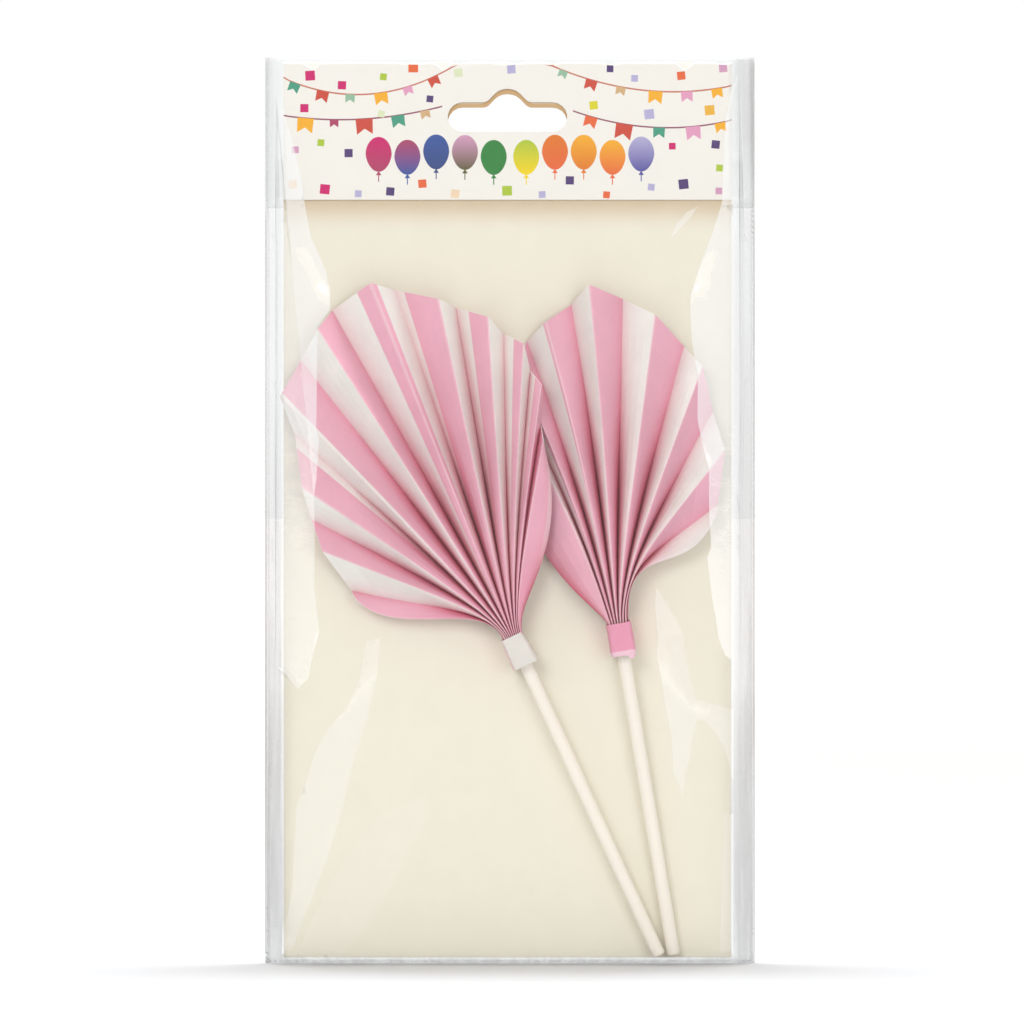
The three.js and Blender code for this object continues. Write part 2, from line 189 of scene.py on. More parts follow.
# Veil tones: near white haze over the cards, and painted shade grey in the margins
VEIL_PALE = (0.93, 0.94, 0.95)
MARGIN_SHADE_GREY = (0.46, 0.45, 0.44)
FILM_TONE = (0.992, 0.995, 0.995)
FIBRE_DEPTH = 0.00008
RIPPLE_DEPTH = 0.0006
STREAK_GRAIN = (380.0, 60.0, 22.0)


def new_material(name):
    material = bpy.data.materials.new(name)
    material.use_nodes = True
    tree = material.node_tree
    tree.nodes.clear()
    output = tree.nodes.new("ShaderNodeOutputMaterial")
    return material, tree, output


def feed(tree, socket, value):
    """Links what feeds a socket, or sets its number or colour."""
    if isinstance(value, bpy.types.NodeSocket):
        tree.links.new(value, socket)
    else:
        socket.default_value = value


def node(tree, kind, **values):
    made = tree.nodes.new(kind)
    for key, value in values.items():
        if key in made.inputs:
            feed(tree, made.inputs[key], value)
        else:
            setattr(made, key, value)
    return made


def feed_all(tree, sockets, values):
    for socket, value in zip(sockets, values):
        feed(tree, socket, value)


def math_node(tree, operation, *values):
    made = node(tree, "ShaderNodeMath", operation=operation)
    feed_all(tree, made.inputs, values)
    return made.outputs[0]


def map_range(tree, value, start=0.0, end=1.0, low=0.0, high=1.0):
    made = node(tree, "ShaderNodeMapRange")
    feed_all(tree, made.inputs, (value, start, end, low, high))
    return made.outputs[0]


def mix_colours(tree, share, first, second, blend="MIX"):
    made = node(tree, "ShaderNodeMix", data_type="RGBA", blend_type=blend)
    feed_all(tree, (made.inputs[0], made.inputs[6], made.inputs[7]), (share, first, second))
    return made.outputs[2]


def mix_shaders(tree, share, first, second):
    made = node(tree, "ShaderNodeMixShader")
    feed_all(tree, made.inputs, (share, first, second))
    return made.outputs[0]


def object_place(tree):
    return node(tree, "ShaderNodeTexCoord").outputs["Object"]


def paper_material(name, colour, roughness=0.85, fibre=0.5, mottle=0.05, glow=0.0, grain=(1, 1, 1),
                   shade=None):
    """Paper or board with fibres. colour None takes the mesh's own tint; shade is a painted shade colour for
    narrow places.
    """
    material, tree, output = new_material(name)
    place = node(tree, "ShaderNodeMapping", Vector=object_place(tree), Scale=grain).outputs[0]
    fibres = node(tree, "ShaderNodeTexNoise", Vector=place, Scale=1500.0, Detail=5.0, Roughness=0.7)
    clouds = node(tree, "ShaderNodeTexNoise", Vector=place, Scale=120.0, Detail=4.0, Roughness=0.6)
    specks = node(tree, "ShaderNodeTexVoronoi", Vector=place, Scale=700.0)
    total = math_node(tree, "ADD", fibres.outputs["Fac"], clouds.outputs["Fac"])
    tone = map_range(tree, total, 0.7, 1.3, 1.0 - mottle, 1.0 + mottle * 0.4)
    base = (*colour, 1.0) if colour else node(tree, "ShaderNodeAttribute", attribute_name="tint").outputs[0]
    tint = mix_colours(tree, 1.0, base, tone, "MULTIPLY")
    if shade:
        tint = painted_crease_shade(tree, tint, shade)
    heights = math_node(tree, "MULTIPLY_ADD", specks.outputs["Distance"], 0.35, fibres.outputs["Fac"])
    bump = node(tree, "ShaderNodeBump", Strength=fibre, Distance=FIBRE_DEPTH, Height=heights)
    shader = node(tree, "ShaderNodeBsdfPrincipled", Roughness=roughness, Normal=bump.outputs[0])
    feed(tree, shader.inputs["Specular IOR Level"], 0.25)
    feed(tree, shader.inputs["Base Color"], tint)
    surface = shader.outputs[0]
    if glow:
        through = node(tree, "ShaderNodeBsdfTranslucent", Color=tint)
        surface = mix_shaders(tree, glow, surface, through.outputs[0])
    feed(tree, output.inputs["Surface"], surface)
    return material


def painted_crease_shade(tree, tint, shade):
    """Painted shade: where ambient occlusion finds a narrow place, the colour is multiplied by the shade
    colour, standing in for light bounced off the paper round it.
    """
    around = node(tree, "ShaderNodeAmbientOcclusion", samples=6, only_local=True, Distance=CREASE_SHADE_REACH)
    closed = map_range(tree, around.outputs["AO"], 0.5, 0.0)
    return mix_colours(tree, closed, tint, (*shade, 1.0), "MULTIPLY")


def film_material(name, haze=0.012, gloss=0.05, ripple=0.12, mirror=0.005):
    """Clear glossy film: see-through, mirror-like at a slant, with a little haze.

    The mesh's tint holds what differs from place to place: red is a painted reflection, how strongly a patch
    mirrors the bright room to the camera, and blue how grey the doubled film of the margins is veiled with
    painted shade.
    """
    material, tree, output = new_material(name)
    place = object_place(tree)
    waves = node(tree, "ShaderNodeTexNoise", Vector=place, Scale=160.0, Detail=3.0, Roughness=0.55)
    waves.inputs["Distortion"].default_value = 0.4
    bump = node(tree, "ShaderNodeBump", Strength=ripple, Distance=RIPPLE_DEPTH, Height=waves.outputs["Fac"])
    normal = bump.outputs[0]
    own = node(tree, "ShaderNodeAttribute", attribute_name="tint")
    parts = node(tree, "ShaderNodeSeparateColor", Color=own.outputs["Color"])
    patch, grey = parts.outputs["Red"], parts.outputs["Blue"]
    clear = node(tree, "ShaderNodeBsdfTransparent", Color=(*FILM_TONE, 1.0))
    veiled = haze_and_margin_shade(tree, place, grey, haze)
    body = mix_shaders(tree, veiled, clear.outputs[0], margin_veil(tree, grey))
    shine = node(tree, "ShaderNodeBsdfGlossy", Color=(1.0, 1.0, 1.0, 1.0), Roughness=gloss, Normal=normal)
    facing = node(tree, "ShaderNodeLayerWeight", Blend=0.5, Normal=normal)
    steep = math_node(tree, "POWER", facing.outputs["Facing"], GRAZING_POWER)
    path = node(tree, "ShaderNodeLightPath")
    # Painted reflection: the listed patches mirror more, for camera rays only
    seen = math_node(tree, "MULTIPLY", patch, path.outputs["Is Camera Ray"])
    least = math_node(tree, "MULTIPLY_ADD", seen, GLARE_SHARE, mirror)
    slant = map_range(tree, steep, low=least, high=GRAZING_MIRROR)
    feed(tree, output.inputs["Surface"], mix_shaders(tree, slant, body, shine.outputs[0]))
    return material


def strip_material(name):
    """Whitish double-sided strip, clear at the ends that stick out past the cards."""
    material = paper_material(name, linear(249, 250, 249), 0.35, fibre=0.1, mottle=0.03, grain=(0.4, 3, 3))
    tree = material.node_tree
    surface = next(n for n in tree.nodes if n.bl_idname == "ShaderNodeOutputMaterial").inputs["Surface"]
    shown = surface.links[0].from_socket
    spot = node(tree, "ShaderNodeSeparateXYZ", Vector=object_place(tree))
    side = math_node(tree, "ABSOLUTE", spot.outputs["X"])
    outer = math_node(tree, "GREATER_THAN", side, CARD_WIDTH / 2 * MM)
    share = math_node(tree, "MULTIPLY", outer, STRIP_END_CLEAR)
    clear = node(tree, "ShaderNodeBsdfTransparent")
    feed(tree, surface, mix_shaders(tree, share, shown, clear.outputs[0]))
    return material


def haze_and_margin_shade(tree, place, amount, haze):
    """How much of the film is veiled: its own haze, and painted shade in long wavy streaks in the margins."""
    stretched = node(tree, "ShaderNodeMapping", Vector=place, Scale=STREAK_GRAIN).outputs[0]
    streaks = node(tree, "ShaderNodeTexNoise", Vector=stretched, Scale=1.0, Detail=1.2, Roughness=0.4)
    streaks.inputs["Distortion"].default_value = 0.8
    level = map_range(tree, streaks.outputs["Fac"], 0.4, 0.62, 0.72)
    return math_node(tree, "MULTIPLY_ADD", amount, level, haze)


def margin_veil(tree, amount):
    """The veil itself: near white over the cards, painted shade grey in the margins."""
    wide = map_range(tree, amount, end=0.25)
    tone = mix_colours(tree, wide, (*VEIL_PALE, 1.0), (*MARGIN_SHADE_GREY, 1.0))
    return node(tree, "ShaderNodeBsdfDiffuse", Color=tone).outputs[0]


# Slot and flat sheets

def slot_outline(crown, steps=9):
    """The hang slot's outline in X and Z, with its crown at that height."""
    half = SLOT_WIDTH / 2
    round_ = SLOT_BAR / 2
    bar = crown - SLOT_RISE
    top = SLOT_CROWN / 2
    points = []
    for i in range(steps + 1):
        a = -math.pi / 2 + math.pi * i / steps
        points.append((half - round_ + round_ * math.cos(a), bar - round_ + round_ * math.sin(a)))
    right = [(top, bar), (top * 0.65, bar), (top * 0.6, crown), (0, crown)]
    points += [bezier(right, i / steps) for i in range(steps + 1)]
    left = [(0, crown), (-top * 0.6, crown), (-top * 0.65, bar), (-top, bar)]
    points += [bezier(left, i / steps) for i in range(1, steps + 1)]
    for i in range(steps + 1):
        a = math.pi / 2 + math.pi * i / steps
        points.append((-half + round_ + round_ * math.cos(a), bar - round_ + round_ * math.sin(a)))
    return points


def bezier(controls, t):
    s = 1 - t
    weights = (s ** 3, 3 * s * s * t, 3 * s * t * t, t ** 3)
    return tuple(sum(w * c[i] for w, c in zip(weights, controls)) for i in (0, 1))


def within(point, box, polygon):
    left, right, low, high = box
    return left < point[0] < right and low < point[1] < high and inside(point, polygon)


def inside(point, polygon):
    x, z = point
    hit = False
    for (ax, az), (bx, bz) in zip(polygon, polygon[1:] + polygon[:1]):
        if (az > z) != (bz > z) and x < (bx - ax) * (z - az) / (bz - az) + ax:
            hit = not hit
    return hit


def box_of(polygon):
    xs, zs = zip(*polygon)
    return min(xs), max(xs), min(zs), max(zs)


def cut_sheet(xs, zs, holes=(), prints=()):
    """Triangles over a grid, without its holes and along printed outlines: points, faces and inks."""
    points = []
    blocked = [(box_of(h), h) for h in holes]
    for x in xs:
        for z in zs:
            if not any(within((x, z), box, hole) for box, hole in blocked):
                points.append((x, z))
    edges = []
    for outline in list(holes) + [p["outline"] for p in prints]:
        start = len(points)
        points += outline
        edges += [(start + i, start + (i + 1) % len(outline)) for i in range(len(outline))]
    made = delaunay_2d_cdt([Vector(p) for p in points], edges, [], 0, 1e-4, False)
    flat = [tuple(v) for v in made[0]]
    boxes = [(box_of(p["outline"]), p) for p in prints]
    faces, inks = [], []
    for face in made[2]:
        cx = sum(flat[i][0] for i in face) / len(face)
        cz = sum(flat[i][1] for i in face) / len(face)
        if any(within((cx, cz), box, hole) for box, hole in blocked):
            continue
        found = None
        for box, mark in boxes:
            if within((cx, cz), box, mark["outline"]):
                found = mark
        faces.append(face)
        inks.append(found)
    return flat, faces, inks


def steps(start, end, size):
    count = max(1, round(abs(end - start) / size))
    return [mix(start, end, i / count) for i in range(count + 1)]


# Film

def film_height(x, z):
    """How far the front film stands in front of the card's middle, as in the solids."""
    side = min(x - POUCH_LEFT, POUCH_RIGHT - x)
    bottom = z - POUCH_BOTTOM
    flat = min(quarter(side, FILM_FLAT_SIDE_RUN), quarter(bottom, FILM_FLAT_BOTTOM_RUN))
    top = quarter(FANS_TOP + FILM_TOP_RUN - z, FILM_TOP_RUN)
    full = mix(FILM_OVER_STICKS, FILM_OVER_FANS, smooth(z, STICKS_LEVEL, WRAPS_LEVEL)) - FILM_ON_CARD
    closed = quarter(bottom, FILM_BOTTOM_RUN)
    return FILM_SEAM_Y + FILM_FLAT_RISE * flat + full * quarter(side, FILM_SIDE_RUN) * top * closed


# Sharp folds in the front film: ends in X and Z, half width and height
CREASES = [
    (-37, -146, -58, -229, 6.5, 0.7), (-28, -150, -40, -205, 5.0, -1.0),
    (-52, -60, -50, -118, 3.0, 0.5), (52, -66, 54, -130, 3.0, 0.5),
    (46, -150, 56, -212, 5.5, 1.3), (39, -160, 50, -200, 4.0, -0.8),
    (-58, -30, -46, -56, 4.0, 0.8), (58, -28, 48, -54, 4.0, 0.8),
    (-20, -205, -34, -231, 4.0, 0.7), (10, -190, -6, -230, 4.0, 0.6),
]


# Painted reflection: patches of the front film that mirror the bright room more strongly: strength, outline
# in X and Z
GLARES = [
    (1.0, [
        (-62.0, -1.0), (-60.2, -4.8), (-57.8, -11.4), (-55.2, -23.0), (-54.3, -29.2), (-52.1, -39.1),
        (-48.1, -48.0), (-47.0, -53.3), (-47.0, -58.4), (-50.3, -63.2), (-50.6, -90.0),
        (-49.9, -93.0), (-50.6, -103.4),
        (-51.3, -108.0)]),
    (0.6, [
        (-62.0, -0.9), (-51.3, -108.1), (-51.0, -115.0), (-51.2, -132.1), (-49.8, -143.6), (-51.6, -149.8),
        (-52.9, -156.2), (-55.6, -158.9), (-62.0, -153.0)]),
    (1.0, [
        (62.0, 6.0), (59.6, -0.7), (58.3, -7.8), (57.8, -21.2), (57.4, -29.2), (54.3, -38.2), (51.1, -46.3),
        (48.6, -54.3), (48.4, -58.7), (48.9, -67.3), (50.4, -75.8), (50.3, -87.4),
        (51.6, -94.1), (53.4, -100.8),
        (53.4, -110.7), (54.0, -121.4), (52.9, -124.1), (54.3, -134.8), (56.1, -145.5), (57.8, -149.8),
        (62.0, -155.0)]),
    (0.55, [
        (51.1, -30.2), (48.0, -31.9), (44.9, -35.6), (43.0, -39.9), (45.3, -37.3), (48.4, -34.2)]),
    (0.3, [
        (-37.4, -146.3), (-33.7, -145.4), (-34.7, -156.2), (-36.9, -165.9), (-41.4, -180.3), (-43.6, -190.0),
        (-47.6, -203.4), (-51.1, -212.4), (-55.6, -224.0), (-57.8, -228.9), (-59.9, -229.4), (-59.9, -224.9),
        (-57.5, -212.4), (-57.0, -203.4), (-56.1, -190.0), (-53.5, -183.8), (-51.1, -175.8), (-47.6, -169.6),
        (-42.2, -163.2), (-39.1, -156.2)]),
    (0.07, [
        (-21.7, -187.3), (-20.6, -190.0), (-21.7, -194.6), (-27.0, -203.4), (-33.4, -216.8), (-39.5, -224.9),
        (-43.6, -229.9), (-56.7, -229.9), (-50.3, -216.8), (-42.2, -202.6), (-34.2, -192.7)]),
    (0.36, [
        (39.5, -132.0), (41.7, -135.6), (44.4, -140.1), (46.7, -144.5), (47.0, -149.8), (48.4, -156.2),
        (49.7, -161.5), (54.3, -162.9), (58.7, -164.2), (59.9, -165.1), (59.9, -182.0), (57.8, -174.9),
        (55.1, -170.4), (52.0, -166.9), (50.3, -166.9), (48.9, -171.3), (48.4, -176.6), (47.0, -182.0),
        (46.7, -188.3), (45.3, -183.8), (44.0, -181.2), (43.6, -172.2), (41.7, -163.2), (40.9, -157.0),
        (39.5, -149.8), (40.0, -145.4), (39.0, -136.4)]),
    (0.2, [(57.6, -192.0), (59.9, -192.8), (59.9, -229.0), (56.6, -229.4)]),
]


LEFT_MARGIN_WIDTH = 4.9
RIGHT_MARGIN_WIDTH = 6.2

# Painted shade: how grey the doubled film is veiled beside the cards, greyer towards the bottom: height,
# amount
LEFT_MARGIN_SHADE = [
    (9, 0.07), (-29, 0.0), (-31, 0.08), (-75, 0.1), (-90, 0.145), (-135, 0.19), (-150, 0.28), (-163, 0.3),
    (-190, 0.34), (-203, 0.38), (-222, 0.37), (-232, 0.26)]
RIGHT_MARGIN_SHADE = [
    (9, 0.21), (-12, 0.18), (-29, 0.05), (-31, 0.13), (-75, 0.18), (-130, 0.2), (-145, 0.25), (-163, 0.27),
    (-182, 0.29), (-205, 0.31), (-225, 0.3), (-232, 0.24)]


def at_height(knots, z):
    for (high, first), (low, second) in zip(knots, knots[1:]):
        if z >= low:
            return mix(first, second, min(1.0, max(0.0, (high - z) / (high - low))))
    return knots[-1][1]


def over_card(x, side):
    """0 in the margin beside the card and 1 over the card."""
    width = LEFT_MARGIN_WIDTH if x < 0 else RIGHT_MARGIN_WIDTH
    return smooth(side, width - 0.4, width + 0.1)


# Painted shade on the film: the margin tables beside the cards, a grey band along the bottom seam and a
# greyer rim along the edges
def margin(x, z):
    side = min(x - POUCH_LEFT, POUCH_RIGHT - x)
    amount = at_height(LEFT_MARGIN_SHADE if x < 0 else RIGHT_MARGIN_SHADE, z)
    bottom = smooth(2.4 - (z - POUCH_BOTTOM), 0, 1.4) * 0.4
    rim = 0.25 * smooth(0.8 - side, 0, 0.6)
    return max(amount * (1 - over_card(x, side)), bottom) + rim


# Painted reflection strength of a patch, weaker in the margins beside the cards
def glare(strength, x):
    side = min(x - POUCH_LEFT, POUCH_RIGHT - x)
    return strength * mix(0.1, 1.0, over_card(x, side))


def crease(x, z, fold):
    ax, az, bx, bz, width, height = fold
    run = (bx - ax) ** 2 + (bz - az) ** 2
    t = min(1.0, max(0.0, ((x - ax) * (bx - ax) + (z - az) * (bz - az)) / run))
    away = math.hypot(x - mix(ax, bx, t), z - mix(az, bz, t))
    return height * max(0.0, 1 - away / width) * min(1.0, 4 * min(t, 1 - t) + 0.15)


def front_film(x, z):
    """The film as seen: flat facets between creases instead of the solids' even curve, and its ripples."""
    side = min(x - POUCH_LEFT, POUCH_RIGHT - x)
    which = -1 if x < 0 else 1
    wander = 1.2 * wave(which * 7, z * 0.035, 2.0)
    knots = [0, 1.5, FILM_FLAT_SIDE_RUN, FILM_SIDE_RUN + wander]
    height = film_height(x, z)
    for low, high in zip(knots, knots[1:]):
        if low <= side < high:
            ends = [POUCH_LEFT + d if which < 0 else POUCH_RIGHT - d for d in (low, high)]
            height = mix(film_height(ends[0], z), film_height(ends[1], z), (side - low) / (high - low))
    bulge = smooth(height, 1.3, 4.0)
    height += bulge * sum(crease(x, z, fold) for fold in CREASES)
    edge = smooth(11 - side, 0, 8)
    height += edge * 0.35 * wave(x * 0.45, z * 0.03, 5.0) * smooth(side, 0, 3)
    height += 0.25 * bulge * wave(x * 0.05, z * 0.04, 9.0)
    corner = smooth(18 - (z - POUCH_BOTTOM), 0, 14) * smooth(22 - side, 0, 16)
    crumple = wave(x * 0.22, z * 0.22, 3.0)
    height += corner * crumple * smooth(side, 0, 2) * smooth(z - POUCH_BOTTOM, 0, 2)
    return height


def film_front():
    xs = steps(POUCH_LEFT, POUCH_RIGHT, 1.5)
    zs = steps(POUCH_BOTTOM, POUCH_TOP, 1.5)
    patches = [{"outline": outline, "strength": strength} for strength, outline in GLARES]
    flat, faces, marks = cut_sheet(xs, zs, [slot_outline(HEADER_SLOT)], patches)
    tints = []
    for face, mark in zip(faces, marks):
        strength = mark["strength"] if mark else 0.0
        # Red carries a patch's painted reflection, blue the margins' painted shade
        tints.append([(glare(strength, flat[i][0]), 0.0, margin(*flat[i])) for i in face])
    points = []
    for x, z in flat:
        side = min(x - POUCH_LEFT, POUCH_RIGHT - x)
        draw = 0.5 * wave(which_side(x), z * 0.025, 1.0) * smooth(10 - side, 0, 9)
        points.append((x + draw * smooth(side, -0.1, 4), -front_film(x, z), z))
    obj = make("film_front", points, faces, "pack", [FILM], tints, ["pouch_front"])
    smooth_shade(obj)
    thicken(obj, FILM_THICKNESS, offset=-1.0)


def which_side(x):
    return -3.0 if x < 0 else 4.0


def film_back():
    xs = steps(POUCH_LEFT, POUCH_RIGHT, 4)
    zs = steps(POUCH_BOTTOM, POUCH_TOP, 4)
    flat, faces, _ = cut_sheet(xs, zs, [slot_outline(HEADER_SLOT)])
    points = []
    for x, z in flat:
        side = min(x - POUCH_LEFT, POUCH_RIGHT - x, z - POUCH_BOTTOM)
        points.append((x, FILM_BACK_Y + 0.12 * wave(x * 0.05, z * 0.05, 0.0) * smooth(side, 0, 6), z))
    obj = make("film_back", points, faces, "pack", [FILM_REAR], replaced=["pouch_back"])
    smooth_shade(obj)
    thicken(obj, FILM_THICKNESS)


def film_flap():
    """The flap runs over the top on a rounded crease and down the back."""
    corners = [(FLAP_CREASE_Y, FLAP_CREASE_Z), (FLAP_CREASE_Y, FLAP_TOP), (FLAP_LEAF_Y, FLAP_TOP),
               (FLAP_LEAF_Y, FLAP_BOTTOM)]
    path = rounded_path(corners, 0.6)
    total = path_length(path)
    slot = [(x, total - (z - FLAP_BOTTOM)) for x, z in slot_outline(HEADER_SLOT)][::-1]
    vs = steps(0, 5.6, 0.22) + steps(5.6, total, 3)[1:]
    flat, faces, _ = cut_sheet(steps(POUCH_LEFT, POUCH_RIGHT, 4), vs, [slot])
    points = []
    for x, v in flat:
        y, z = along(path, v)
        wobble = 0.1 * wave(x * 0.06, v * 0.06, 4.0) * smooth(v, 6, 12)
        points.append((x, y + wobble, z))
    rims = [0.15 * smooth(1.0 - min(x - POUCH_LEFT, POUCH_RIGHT - x, total - v), 0, 0.8) for x, v in flat]
    tints = [[(0.0, 0.0, rims[i]) for i in f[::-1]] for f in faces]
    turned = [f[::-1] for f in faces]
    obj = make("film_flap", points, turned, "flap", [FILM_REAR], tints, ["pouch_flap"])
    smooth_shade(obj)
    thicken(obj, FILM_THICKNESS)


def rounded_path(corners, radius, count=6):
    points = [corners[0]]
    for before, corner, after in zip(corners, corners[1:], corners[2:]):
        legs = [Vector(p) - Vector(corner) for p in (before, after)]
        reach = min(radius, legs[0].length * 0.49, legs[1].length * 0.49)
        start, end = (Vector(corner) + leg.normalized() * reach for leg in legs)
        for i in range(count + 1):
            t = i / count
            points.append(tuple(start.lerp(Vector(corner), t).lerp(Vector(corner).lerp(end, t), t)))
    return points + [corners[-1]]


def path_length(path):
    return sum(math.dist(a, b) for a, b in zip(path, path[1:]))


def along(path, distance):
    for a, b in zip(path, path[1:]):
        length = math.dist(a, b)
        if distance <= length:
            t = distance / length if length else 0
            return mix(a[0], b[0], t), mix(a[1], b[1], t)
        distance -= length
    return path[-1]


# Cards

# Painted shadow on the board under the header's edge: where it fades out, and its tone
SHADE_END = -40.0
SHADE_TONE = (0.8, 0.68, 0.56)
# Painted shade round the slot on the board, where the header's slot edge shades it: how far it reaches
SLOT_SHADE_WIDER = 1.14
SLOT_SHADE_HIGHER = 1.3


def board_tint_and_painted_shadow(z):
    """Cream board with a painted shadow: browner just under the header's edge."""
    share = (1 - smooth(HEADER_BOTTOM - z, 0, HEADER_BOTTOM - SHADE_END)) ** 2
    return tuple(mix(c, c * d, share) for c, d in zip(CREAM, SHADE_TONE))


def backing_card():
    xs = steps(-CARD_WIDTH / 2, CARD_WIDTH / 2, 10)
    zs = steps(CARD_BOTTOM, SHADE_END, 10) + steps(SHADE_END, HEADER_BOTTOM, 0.5)[1:]
    zs += steps(HEADER_BOTTOM, CARD_TOP, 8)[1:]
    hole = slot_outline(0.0)
    # Painted shade: a kraft-brown ring on the board round the slot, showing through the header's slot
    rim = [(x * SLOT_SHADE_WIDER, SLOT_MIDDLE + (z - SLOT_MIDDLE) * SLOT_SHADE_HIGHER) for x, z in hole]
    flat, faces, inks = cut_sheet(xs, zs, [hole], [{"outline": rim}])
    points = [(x, 0.0, z) for x, z in flat]
    colours = []
    for face, mark in zip(faces, inks):
        colours.append([KRAFT_AND_SLOT_SHADE if mark else board_tint_and_painted_shadow(flat[i][1]) for i in face])
    obj = make("card_board", points, faces, "pack", [BOARD, BOARD_EDGE], colours, ["backing_card"])
    thicken(obj, CARD_THICKNESS, rim=1)


INK = {
    "orange": (232, 106, 60), "red": (206, 78, 60), "amber": (246, 178, 44), "sage": (150, 190, 160),
    "teal": (74, 158, 130), "rose": (228, 160, 192), "berry": (176, 70, 104), "sand": (214, 176, 130),
    "lime": (176, 200, 62), "navy": (58, 76, 130), "mustard": (238, 182, 66), "magenta": (208, 30, 110),
    "lavender": (184, 178, 214), "plum": (84, 62, 116), "lemon": (220, 212, 40), "tangerine": (226, 124, 40),
    "rust": (200, 118, 98), "plum_string": (150, 84, 104), "peach": (240, 214, 180), "mint": (222, 230, 190),
    "yellow": (246, 214, 24), "blue": (60, 90, 160), "green": (52, 132, 62), "olive": (96, 92, 48),
    "violet": (86, 82, 160), "mauve": (214, 160, 190),
}


def ink(outline, top, bottom=None):
    return {"outline": outline, "top": linear(*INK[top]), "bottom": linear(*INK[bottom or top])}


def square(x, z, size, turn, colour):
    half = size / 2
    c, s = math.cos(turn), math.sin(turn)
    corners = [(-half, -half), (half, -half), (half, half), (-half, half)]
    return ink([(x + u * c - v * s, z + u * s + v * c) for u, v in corners], colour)


def garland(start, end, sag, colour, flags, width=0.42):
    """A hanging string in a shallow curve, with swallow-tailed flags at shares of its length."""
    def at(t):
        return mix(start[0], end[0], t), mix(start[1], end[1], t) - sag * 4 * t * (1 - t)
    top = [at(i / 24) for i in range(25)]
    marks = [ink(top + [(x, z - width) for x, z in reversed(top)], colour)]
    for share, size, tint in flags:
        x, z = at(share)
        bx, bz = at(share + size / max(1.0, math.dist(start, end)))
        slope = math.atan2(bz - z, bx - x)
        c, s = math.cos(slope), math.sin(slope)
        shape = [(0, -0.2), (size, -0.2), (size * 0.96, -size * 0.95), (size / 2, -size * 0.62),
                 (size * 0.04, -size * 0.95)]
        outline = [(x + u * c - v * s, z + u * s + v * c) for u, v in shape]
        marks.append(ink(outline[::-1], tint))
    return marks


def balloon(x, z, width, height, top, bottom):
    """A plain party balloon: body, knot and a short string."""
    body = []
    for i in range(28):
        a = 2 * math.pi * i / 28
        taper = 1 - 0.12 * max(0.0, -math.sin(a))
        body.append((x + width / 2 * taper * math.cos(a), z + height / 2 * math.sin(a)))
    low = z - height / 2
    knot = [(x - 0.75, low - 0.9), (x + 0.75, low - 0.9), (x, low + 0.25)]
    string = [(x - 0.14, low - 2.6), (x + 0.14, low - 2.6), (x + 0.14, low - 0.9), (x - 0.14, low - 0.9)]
    return [ink(string, bottom), ink(knot, bottom), ink(body, top, bottom)]


BALLOON_WIDTH = 7.0
BALLOON_HEIGHT = 9.4
BALLOON_PITCH = 7.7
BALLOON_LEVEL = -16.2
CONFETTI_COUNT = 44
CONFETTI_TRIES = 900
SLOT_KEPT_CLEAR = (-17.5, 17.5, -12.5, 3.2)


def header_prints():
    marks = []
    marks += garland((-60.5, 4.6), (-13, 8.4), 6.4, "rust", [
        (0.05, 3.0, "teal"), (0.2, 3.4, "red"), (0.36, 2.6, "sage"), (0.52, 3.6, "amber"),
        (0.68, 2.6, "rose"), (0.82, 3.0, "red")])
    marks += garland((-60.5, -5.6), (-17.5, -3.2), 2.2, "plum_string", [
        (0.1, 4.4, "amber"), (0.3, 2.4, "berry"), (0.46, 4.6, "red"), (0.68, 3.6, "teal"),
        (0.86, 2.6, "sand")])
    marks += garland((10, 8.5), (60.5, 2.4), 4.2, "rust", [
        (0.08, 2.4, "sage"), (0.22, 3.2, "red"), (0.38, 2.6, "sand"), (0.55, 3.8, "amber"),
        (0.72, 3.2, "rose"), (0.88, 3.0, "amber")])
    marks += garland((17.5, -4.4), (60.5, -6.8), 3.2, "plum_string", [
        (0.08, 3.4, "orange"), (0.27, 4.6, "red"), (0.5, 3.2, "teal"), (0.7, 4.0, "rose"),
        (0.88, 3.0, "amber")])
    first = [("magenta", "berry"), ("berry", "blue"), ("blue", "navy"), ("mauve", "olive"),
             ("green", "green")]
    second = [("lime", "yellow"), ("tangerine", "orange"), ("amber", "tangerine"), ("amber", "orange"),
              ("lavender", "violet")]
    for group, start in ((first, -34.5), (second, 5.0)):
        for i, (top, bottom) in enumerate(group):
            lift = 0.9 * math.sin(i * 1.9 + start)
            x, z = start + BALLOON_PITCH * i, BALLOON_LEVEL + lift
            marks += balloon(x, z, BALLOON_WIDTH, BALLOON_HEIGHT, top, bottom)
    return marks + confetti(marks)


def confetti(taken):
    """Little paper squares strewn where nothing else is printed."""
    draw = random.Random(11)
    tints = ["lime", "plum", "mauve", "orange", "mustard", "magenta", "lavender", "plum", "lemon", "peach",
             "mauve", "lime", "mauve", "mint"]
    boxes = [box_of(mark["outline"]) for mark in taken if len(mark["outline"]) < 40]
    boxes.append(SLOT_KEPT_CLEAR)
    marks = []
    for number in range(CONFETTI_TRIES):
        size = draw.choice([1.8, 2.2, 2.6])
        x, z = draw.uniform(-58, 58), draw.uniform(HEADER_BOTTOM + 1.2, 7.0)
        turn = draw.uniform(-0.12, 0.12)
        reach = size / 2 + 1.2
        clear = all(x + reach < l or x - reach > r or z + reach < b or z - reach > t for l, r, b, t in boxes)
        if clear and len(marks) < CONFETTI_COUNT:
            marks.append(square(x, z, size, turn, tints[number % len(tints)]))
            boxes.append((x - size - 2.6, x + size + 2.6, z - size - 1.4, z + size + 1.4))
    return marks


